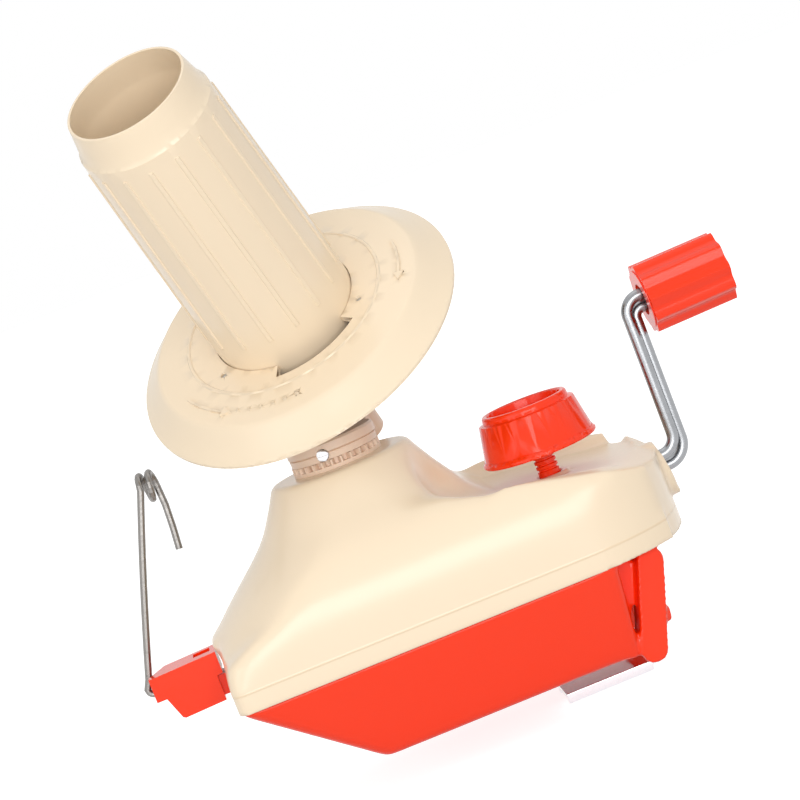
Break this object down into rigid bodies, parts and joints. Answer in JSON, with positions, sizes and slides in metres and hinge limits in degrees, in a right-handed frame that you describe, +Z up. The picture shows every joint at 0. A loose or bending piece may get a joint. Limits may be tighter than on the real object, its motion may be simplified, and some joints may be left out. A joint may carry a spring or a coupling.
{
  "type": "yarn ball winder",
  "caption": "Hand-cranked yarn ball winder with a leaning ribbed spool on a round flange, a wire yarn guide, a knob-driven table clamp and a folded-wire crank with a red handle.",
  "frame": {"origin": "on the table top, on the housing's flat underside straight below the neck's axis", "axes": "+X from the yarn guide toward the crank handle, +Y away from the front, +Z up along the neck's axis"},
  "size_m": [0.2592, 0.14, 0.2762],
  "materials": {
    "cream_plastic": "smooth, slightly glossy cream moulding",
    "red_plastic": "glossy orange-red moulding",
    "taupe_plastic": "satin taupe moulding",
    "brown_plastic": "dark brown gear plastic",
    "nylon": "translucent white nylon",
    "chrome": "bright plated steel",
    "steel": "plain turned steel",
    "grey_wire": "drawn grey wire"
  },
  "bodies": {
    "housing": {"cover": "cream_plastic", "lower_shell": "red_plastic", "cover_screws": "steel", "neck_bush": "nylon", "foot_bush": "nylon", "inner_bush": "nylon", "outer_bush": "nylon", "ring_gear": "taupe_plastic"},
    "crank": {"crank_shaft": "nylon", "crown_gear": "nylon", "gear_pin": "steel", "crank_arm": "chrome", "handle_bush": "nylon"},
    "handle": {"crank_handle": "red_plastic", "handle_cap": "red_plastic"},
    "rotor": {"rotor_shaft": "steel", "drive_pinion": "nylon", "rotor_clip": "steel", "rotor_carrier": "taupe_plastic", "set_screw": "steel", "spindle": "steel", "spindle_clip": "steel"},
    "planet": {"planet_gear": "brown_plastic", "bevel_pinion": "brown_plastic", "planet_pin": "steel"},
    "spool": {"spool_hub": "brown_plastic", "flange": "cream_plastic", "hub_screws": "steel", "hub_washer": "steel"},
    "tube": {"spool_tube": "cream_plastic"},
    "clamp_turn": {"clamp_screw": "red_plastic", "clamp_knob": "red_plastic", "knob_screw": "steel", "screw_clip": "steel"},
    "bracket": {"clamp_bracket": "chrome", "bracket_nut": "chrome"},
    "guide": {"guide_block": "red_plastic"},
    "wire": {"guide_wire": "grey_wire"}
  },
  "joints": [
    {"name": "crank_turn", "type": "hinge", "parent": "housing", "child": "crank", "pos_m": [0.1, 0, 0.0575], "axis": [1, 0, 0], "continuous": true},
    {"name": "handle_spin", "type": "hinge", "parent": "crank", "child": "handle", "pos_m": [0.1281, 0, 0.1169], "axis": [0.9995, 0, 0.0314], "continuous": true},
    {"name": "rotor_turn", "type": "hinge", "parent": "housing", "child": "rotor", "pos_m": [0, 0, 0.1], "axis": [0, 0, 1], "continuous": true},
    {"name": "planet_turn", "type": "hinge", "parent": "rotor", "child": "planet", "pos_m": [0.00789, 0.01924, 0.108], "axis": [0, 0, 1], "continuous": true},
    {"name": "spool_turn", "type": "hinge", "parent": "rotor", "child": "spool", "pos_m": [0, 0, 0.1664], "axis": [-0.2176, -0.5307, 0.8192], "continuous": true},
    {"name": "tube_lock", "type": "hinge", "parent": "spool", "child": "tube", "pos_m": [0, 0, 0.1664], "axis": [-0.2176, -0.5307, 0.8192], "range_deg": [0, 75]},
    {"name": "clamp_turn", "type": "hinge", "parent": "housing", "child": "clamp_turn", "pos_m": [0.0708, -0.012, 0.08], "axis": [0, 0, 1], "range_deg": [0, 2700]},
    {"name": "bracket_slide", "type": "slide", "parent": "housing", "child": "bracket", "axis": [0, 0, -1], "range_m": [0, 0.03]},
    {"name": "guide_pull", "type": "slide", "parent": "housing", "child": "guide", "axis": [-1, 0, 0], "range_m": [0, 0.025]},
    {"name": "wire_fold", "type": "hinge", "parent": "guide", "child": "wire", "pos_m": [-0.09, 0, 0.0473], "axis": [1, 0, 0], "range_deg": [-60, 5]}
  ],
  "couplings": [
    {"joint": "rotor_turn", "follows": "crank_turn", "ratio": -4},
    {"joint": "planet_turn", "follows": "crank_turn", "ratio": -14},
    {"joint": "spool_turn", "follows": "crank_turn", "ratio": 7},
    {"joint": "clamp_turn", "follows": "bracket_slide", "rad_per_m": 1570.8}
  ]
}
